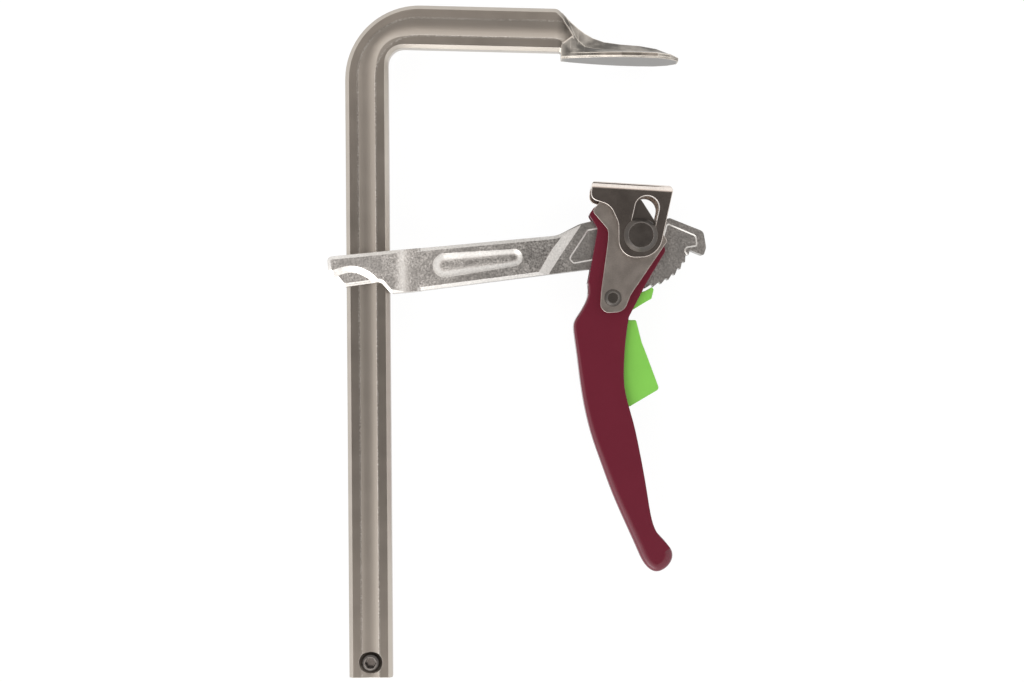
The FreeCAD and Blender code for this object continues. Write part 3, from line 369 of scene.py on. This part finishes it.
def smooth_steel(name, colour_value, roughness, edge, grain, painted_slope_shade=1.0, painted_shade_patch=None):
    """Zinc plated steel with a fine tumbled grain, with painted shade on the slopes and in a ragged dark patch.
    """
    material = new_material(name)
    place = add(material, "ShaderNodeTexCoord", output="Object")
    cloud = add(material, "ShaderNodeTexNoise", {"Vector": place, "Scale": 1 / (5 * MM), "Detail": 4.0})
    fine = add(material, "ShaderNodeTexNoise", {"Vector": place, "Scale": 1 / grain, "Detail": 3.0})
    mottled = add(material, "ShaderNodeMath", {0: cloud, 1: fine}, operation="ADD")
    tone = add(material, "ShaderNodeMapRange", {"Value": mottled, "From Min": 0.7, "From Max": 1.3})
    tones = {0: tone, COLOUR_A: rgba(share(colour_value, 0.8)), COLOUR_B: rgba(colour_value)}
    colour = add(material, "ShaderNodeMix", tones, MIXED, data_type="RGBA")
    rough_limits = {"Value": cloud, "To Min": roughness - 0.04, "To Max": roughness + 0.05}
    rough = add(material, "ShaderNodeMapRange", rough_limits)
    if painted_slope_shade < 1:
        # Painted shade: faces leaning away from level, the cone and the rounded rim of the flat, take a darker
        # colour.
        rounded = add(material, "ShaderNodeBevel", {"Radius": edge}, samples=8)
        lean = add(material, "ShaderNodeSeparateXYZ", {0: rounded}, 2)
        level = add(material, "ShaderNodeMath", {0: lean}, operation="ABSOLUTE")
        face = add(material, "ShaderNodeMapRange", {"Value": level, "From Min": 0.95, "From Max": 0.995})
        rough = add(material, "ShaderNodeMix", {0: face, 2: roughness + 0.25, 3: rough}, data_type="FLOAT")
        with_slopes = {0: face, COLOUR_A: rgba(share(colour_value, painted_slope_shade)), COLOUR_B: colour}
        colour = add(material, "ShaderNodeMix", with_slopes, MIXED, data_type="RGBA")
    if painted_shade_patch:
        # Painted shade: a ragged patch round the given centre takes a much darker colour.
        centre, reach = painted_shade_patch
        off = add(material, "ShaderNodeVectorMath", {0: place, 1: centre}, "Value", operation="DISTANCE")
        ragged = add(material, "ShaderNodeMath", {0: cloud, 1: 2 * MM, 2: off}, operation="MULTIPLY_ADD")
        patch_limits = {"Value": ragged, "From Min": reach, "From Max": reach + 2 * MM}
        clear = add(material, "ShaderNodeMapRange", patch_limits)
        with_shade_patch = {0: clear, COLOUR_A: rgba(share(colour_value, 0.3)), COLOUR_B: colour}
        colour = add(material, "ShaderNodeMix", with_shade_patch, MIXED, data_type="RGBA")
    values = {"Metallic": 1.0, "Base Color": colour, "Roughness": rough}
    return finish_surface(material, values, fine, 0.008 * MM, edge)


class CLAMP_OT_side_plates(bpy.types.Operator):
    """Give the two side plates their blanked sheet steel"""

    bl_idname = "clamp.side_plates"
    bl_label = "Side plates"

    def execute(self, context):
        steel = context.scene.clamp_steel
        low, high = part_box("main_rivet")
        pivot = (low + high) / 2
        for name in ("side_plate_front", "side_plate_rear"):
            low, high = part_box(name)
            shaded_spot = (pivot.x + 1.5 * MM, pivot.y + 9 * MM, (low.z + high.z) / 2)
            # Blanked sheet, tumbled and zinc plated: dull, with bright edges and a ragged patch of painted
            # shade above the main rivet.
            blanked = smooth_steel(
                "sheet_steel_blanked_" + name, steel.plate_colour, 0.31, steel.edge_radius, 0.4 * MM,
                painted_shade_patch=(shaded_spot, 7 * MM),
            )
            dress(name, blanked)
        return {"FINISHED"}


class CLAMP_OT_pressure_plate(bpy.types.Operator):
    """Give the pressure plate its bright bent sheet steel"""

    bl_idname = "clamp.pressure_plate"
    bl_label = "Pressure plate"

    def execute(self, context):
        steel = context.scene.clamp_steel
        # Bent sheet with a bright zinc, smoother than the side plates: its flats mirror what is above.
        bent = smooth_steel("sheet_steel_bent_bright_zinc", steel.pressed_colour, 0.13, 0.5 * MM, 0.5 * MM)
        dress("pressure_plate", bent)
        return {"FINISHED"}


class CLAMP_OT_rivets(bpy.types.Operator):
    """Give the rivets, the stop screw and the spring their turned and drawn steel"""

    bl_idname = "clamp.rivets"
    bl_label = "Rivets, screw and spring"

    def execute(self, context):
        steel = context.scene.clamp_steel
        # Cold headed steel: smooth dark flats with rounded edges, and painted shade that darkens the cone round
        # them.
        headed = smooth_steel(
            "cold_headed_steel_zinc_plated", steel.rivet_colour, 0.15, 0.8 * MM, 0.4 * MM, painted_slope_shade=0.18
        )
        for name in ("main_rivet", "pawl_rivet", "rail_stop_screw"):
            dress(name, headed)
        # Drawn spring wire, darker and with a thin film of oil.
        drawn = smooth_steel("spring_wire_oiled", share(steel.rivet_colour, 0.6), 0.28, 0.1 * MM, 0.2 * MM)
        dress("trigger_spring", drawn)
        return {"FINISHED"}


# Coated pieces

def powder_coat(name, colour_value, paint):
    """Powder coat on steel: deep colour with a gloss that draws a line on edges, and faint orange peel."""
    material = new_material(name)
    place = add(material, "ShaderNodeTexCoord", output="Object")
    peel_inputs = {"Vector": place, "Scale": 1 / paint.peel_size, "Detail": 2.0, "Roughness": 0.4}
    peel = add(material, "ShaderNodeTexNoise", peel_inputs)
    cloud = add(material, "ShaderNodeTexNoise", {"Vector": place, "Scale": 1 / (14 * MM), "Detail": 3.0})
    tones = {0: cloud, COLOUR_A: rgba(share(colour_value, 0.92)), COLOUR_B: rgba(share(colour_value, 1.06))}
    colour = add(material, "ShaderNodeMix", tones, MIXED, data_type="RGBA")
    smooth, dull = paint.coat_roughness - 0.03, paint.coat_roughness + 0.05
    rough = add(material, "ShaderNodeMapRange", {"Value": peel, "To Min": smooth, "To Max": dull})
    values = {"Base Color": colour, "Roughness": rough, "IOR": 1.45}
    return finish_surface(material, values, peel, 0.02 * MM, paint.coat_edge)


class CLAMP_OT_handle(bpy.types.Operator):
    """Give the lever handle its red powder coat"""

    bl_idname = "clamp.handle"
    bl_label = "Lever handle"

    def execute(self, context):
        paint = context.scene.clamp_paint
        dress("lever_handle", powder_coat("powder_coat_dark_red", paint.handle_colour, paint))
        return {"FINISHED"}


class CLAMP_OT_trigger(bpy.types.Operator):
    """Give the release trigger its green powder coat"""

    bl_idname = "clamp.trigger"
    bl_label = "Release trigger"

    def execute(self, context):
        paint = context.scene.clamp_paint
        dress("release_trigger", powder_coat("powder_coat_leaf_green", paint.trigger_colour, paint))
        return {"FINISHED"}


# Stage

def plain_floor(studio):
    """Matt white floor. The camera and mirrors see it lifted to white, and it keeps the clamp's shadow."""
    bpy.ops.mesh.primitive_plane_add(size=studio.floor_width, location=(0, 0, 0))
    floor = bpy.context.object
    floor.name = "floor"
    material = new_material("matt_white_paper")
    rays = add(material, "ShaderNodeLightPath").node.outputs
    direct = add(
        material, "ShaderNodeMath", {0: rays["Is Camera Ray"], 1: rays["Is Glossy Ray"]}, operation="MAXIMUM"
    )
    seen = add(material, "ShaderNodeMath", {0: direct, 1: rays["Is Transmission Ray"]}, operation="MAXIMUM")
    lift = add(material, "ShaderNodeMath", {0: seen, 1: 0.88}, operation="MULTIPLY")
    paper = add(material, "ShaderNodeBsdfDiffuse", {"Color": (0.8, 0.8, 0.8, 1)})
    light = add(material, "ShaderNodeEmission", {"Color": ALL_LIGHT, "Strength": 1.06})
    mixed = add(material, "ShaderNodeMixShader", {0: lift, 1: paper, 2: light})
    add(material, "ShaderNodeOutputMaterial", {"Surface": mixed})
    floor.data.materials.append(material)


def lens_card(studio):
    """Dark round card about the lens, unseen by it, which steel that faces the camera mirrors."""
    low, high = cad_box
    height = (low.z + high.z) / 2 + studio.camera_distance
    bpy.ops.mesh.primitive_circle_add(
        vertices=64, radius=studio.card_radius, fill_type="NGON", location=(CAMERA_X, CAMERA_Y, height)
    )
    card = bpy.context.object
    card.name = "lens_card"
    card.visible_camera = False
    material = new_material("dark_card_lit_at_the_rim")
    place = add(material, "ShaderNodeTexCoord", output="Object")
    reach = add(material, "ShaderNodeVectorMath", {0: place}, "Value", operation="LENGTH")
    limits = {
        "Value": reach, "From Min": studio.card_radius * 0.3, "From Max": studio.card_radius,
        "To Min": studio.card_light, "To Max": studio.tent_light,
    }
    strength = add(material, "ShaderNodeMapRange", limits, interpolation_type="SMOOTHSTEP")
    glow = add(material, "ShaderNodeEmission", {"Color": WARM_LIGHT, "Strength": strength})
    add(material, "ShaderNodeOutputMaterial", {"Surface": glow})
    card.data.materials.append(material)


def tent(studio):
    """Light tent all round the clamp, with a soft lamp at the lower left."""
    world = bpy.data.worlds.new("light_tent")
    bpy.context.scene.world = world
    world.use_nodes = True
    world.node_tree.nodes.clear()
    way = add(world, "ShaderNodeTexCoord", output="Generated")
    toward = add(world, "ShaderNodeVectorMath", {0: way, 1: LAMP_WAY}, "Value", operation="DOT_PRODUCT")
    facing = add(world, "ShaderNodeMath", {0: toward, 1: 0.0}, operation="MAXIMUM")
    lamp = add(world, "ShaderNodeMath", {0: facing, 1: 8.0}, operation="POWER")
    bright = add(
        world, "ShaderNodeMath", {0: lamp, 1: studio.side_light, 2: studio.tent_light}, operation="MULTIPLY_ADD"
    )
    seen = add(world, "ShaderNodeLightPath", output="Is Camera Ray")
    strength = add(world, "ShaderNodeMix", {0: seen, 2: bright, 3: 1.0}, data_type="FLOAT")
    sky = add(world, "ShaderNodeBackground", {"Color": ALL_LIGHT, "Strength": strength})
    add(world, "ShaderNodeOutputWorld", {"Surface": sky})


def camera(studio):
    low, high = cad_box
    view = bpy.data.cameras.new("studio_camera")
    eye = bpy.data.objects.new("studio_camera", view)
    bpy.context.scene.collection.objects.link(eye)
    eye.location = (CAMERA_X, CAMERA_Y, (low.z + high.z) / 2 + studio.camera_distance)
    eye.rotation_euler = (0, 0, studio.roll)
    view.lens = view.sensor_width * studio.camera_distance / studio.view_width
    view.clip_end = 10
    bpy.context.scene.camera = eye


class CLAMP_OT_studio(bpy.types.Operator):
    """Set the floor, the light tent, the dark card and the camera above the clamp"""

    bl_idname = "clamp.studio"
    bl_label = "Studio"

    def execute(self, context):
        studio = context.scene.clamp_studio
        bpy.ops.object.select_all(action="DESELECT")
        plain_floor(studio)
        lens_card(studio)
        tent(studio)
        camera(studio)
        context.scene.view_settings.view_transform = "Standard"
        return {"FINISHED"}


class CLAMP_PT_panel(bpy.types.Panel):
    """Settings and steps of the clamp"""

    bl_idname = "CLAMP_PT_panel"
    bl_label = "Lever bar clamp"
    bl_space_type = "VIEW_3D"
    bl_region_type = "UI"
    bl_category = "Clamp"

    def draw(self, context):
        scene = context.scene
        for settings in (scene.clamp_steel, scene.clamp_paint, scene.clamp_studio):
            box = self.layout.box()
            for key in settings.bl_rna.properties.keys():
                if key not in ("rna_type", "name"):
                    box.prop(settings, key)
        for operator in STEPS:
            self.layout.operator(operator.bl_idname)


STEPS = (
    CLAMP_OT_rail, CLAMP_OT_arm, CLAMP_OT_side_plates, CLAMP_OT_pressure_plate, CLAMP_OT_rivets,
    CLAMP_OT_handle, CLAMP_OT_trigger, CLAMP_OT_studio,
)
SETTINGS = {
    "clamp_steel": ClampSteelSettings,
    "clamp_paint": ClampPaintSettings,
    "clamp_studio": ClampStudioSettings,
}


def register():
    for kind in (*SETTINGS.values(), *STEPS, CLAMP_PT_panel):
        bpy.utils.register_class(kind)
    for name, kind in SETTINGS.items():
        setattr(bpy.types.Scene, name, bpy.props.PointerProperty(type=kind))


def unregister():
    for name in SETTINGS:
        delattr(bpy.types.Scene, name)
    for kind in reversed((*SETTINGS.values(), *STEPS, CLAMP_PT_panel)):
        bpy.utils.unregister_class(kind)


def main():
    register()
    bpy.ops.clamp.rail()
    bpy.ops.clamp.arm()
    bpy.ops.clamp.side_plates()
    bpy.ops.clamp.pressure_plate()
    bpy.ops.clamp.rivets()
    bpy.ops.clamp.handle()
    bpy.ops.clamp.trigger()
    bpy.ops.clamp.studio()


if __name__ == "__main__":
    main()
